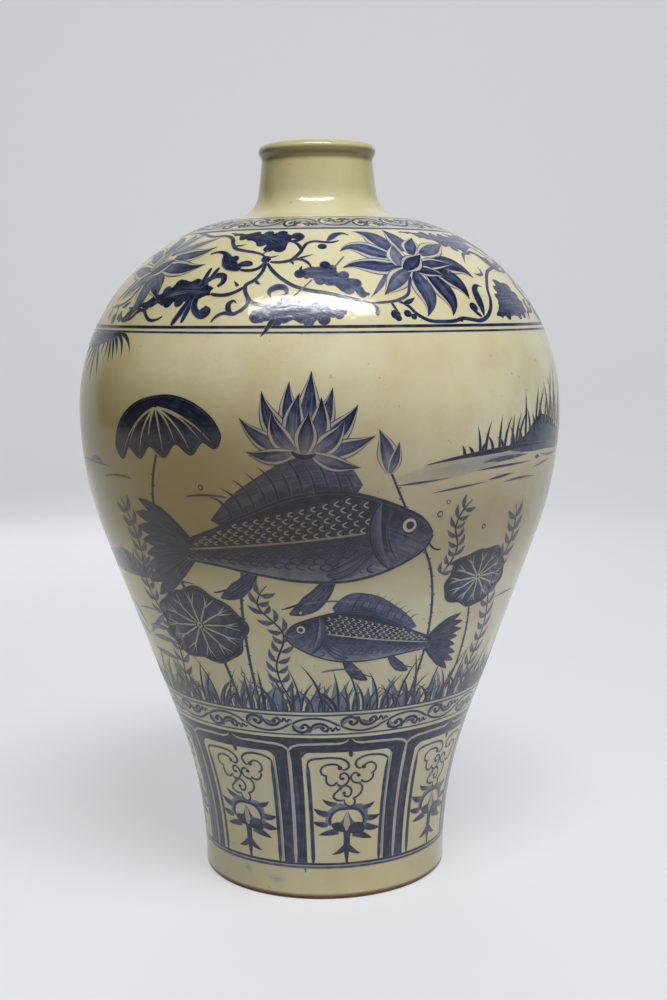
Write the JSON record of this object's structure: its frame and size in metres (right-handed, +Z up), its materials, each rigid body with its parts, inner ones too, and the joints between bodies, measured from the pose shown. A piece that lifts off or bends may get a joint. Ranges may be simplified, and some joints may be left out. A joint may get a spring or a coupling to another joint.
{
  "type": "meiping vase",
  "caption": "Tall meiping flower vase with a small rolled mouth, high round shoulders and a slim foot, in thrown and luted clay sections under one glaze.",
  "frame": {"origin": "centre of the foot ring, on the surface that the vase stands on", "axes": "+Z up along the vase's axis, -Y towards the side that the picture shows"},
  "size_m": [0.264, 0.264, 0.4009],
  "materials": {
    "bare_clay": "fired unglazed stoneware, red-brown skin over a buff body",
    "slip": "fired luting slip, wiped smooth",
    "glaze": "glossy ivory glaze over cobalt brush painting",
    "cobalt": "cobalt blue brush painting under the glaze"
  },
  "bodies": {
    "root": {"base_disc": "bare_clay", "base_slip": "slip", "lower_body": "bare_clay", "lower_seam_slip": "slip", "belly_section": "bare_clay", "belly_seam_slip": "slip", "shoulder_section": "bare_clay", "neck_seam_slip": "slip", "neck_and_lip": "bare_clay", "glaze_coat": "glaze"}
  },
  "joints": []
}
